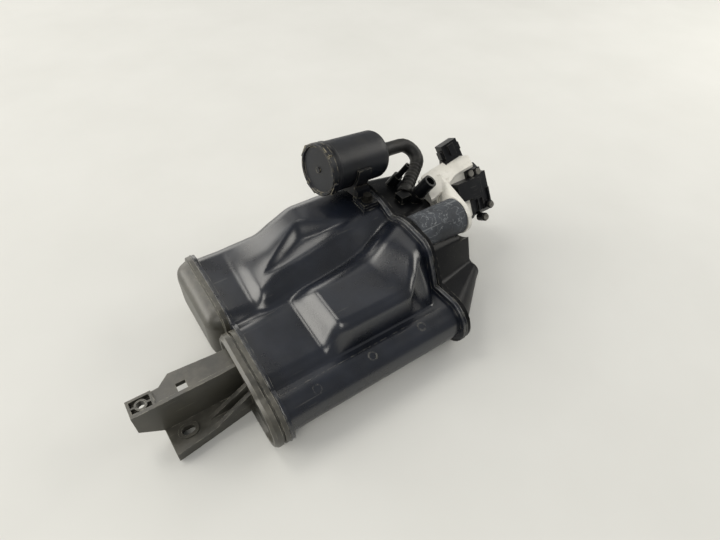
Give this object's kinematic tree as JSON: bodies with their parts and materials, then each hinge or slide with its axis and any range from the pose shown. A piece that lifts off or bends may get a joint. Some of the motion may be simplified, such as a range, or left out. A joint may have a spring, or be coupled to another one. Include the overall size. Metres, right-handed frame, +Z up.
{
  "type": "charcoal canister",
  "caption": "Black moulded charcoal canister with a stepped roof, front bracket, side vent filter can with hose, grey sleeve and a white leak test pump at the rear.",
  "frame": {"origin": "centre of the overall box on the floor under the weld flanges", "axes": "+X from the bracket tip to the pump cap, +Y toward the filter can side, +Z up"},
  "size_m": [0.413, 0.2134, 0.1453],
  "materials": {
    "body_plastic": "semi gloss",
    "cover_plastic": "dusty matt",
    "rear_plastic": "gloss",
    "inner_plastic": "matt",
    "carbon": "granular",
    "fleece": "felted",
    "filter_paper": "pleated",
    "spring_steel": "drawn wire",
    "screw_steel": "dark coated",
    "hose_rubber": "matt",
    "sleeve_rubber": "chalky",
    "pump_plastic": "matt",
    "pump_metal": "machined"
  },
  "bodies": {
    "root": {"canister_body": "body_plastic", "front_near_cover": "cover_plastic", "front_far_cover": "cover_plastic", "rear_cover": "rear_plastic", "rear_grid": "inner_plastic", "near_carbon": "carbon", "mid_carbon": "carbon", "far_carbon": "carbon", "near_fleece": "fleece", "mid_fleece": "fleece", "far_fleece": "fleece", "near_plate": "inner_plastic", "mid_plate": "inner_plastic", "far_plate": "inner_plastic", "pack_springs": "spring_steel", "filter_can": "body_plastic", "filter_lid": "body_plastic", "filter_element": "filter_paper", "filter_saddle": "cover_plastic", "saddle_screw": "screw_steel", "vent_hose": "hose_rubber", "pump_sleeve": "sleeve_rubber", "sleeve_ring": "hose_rubber", "pump_housing": "pump_plastic", "pump_motor": "pump_metal", "pump_valve": "pump_metal", "pump_cap": "rear_plastic", "pump_plug": "rear_plastic", "pump_screws": "screw_steel"}
  },
  "joints": []
}
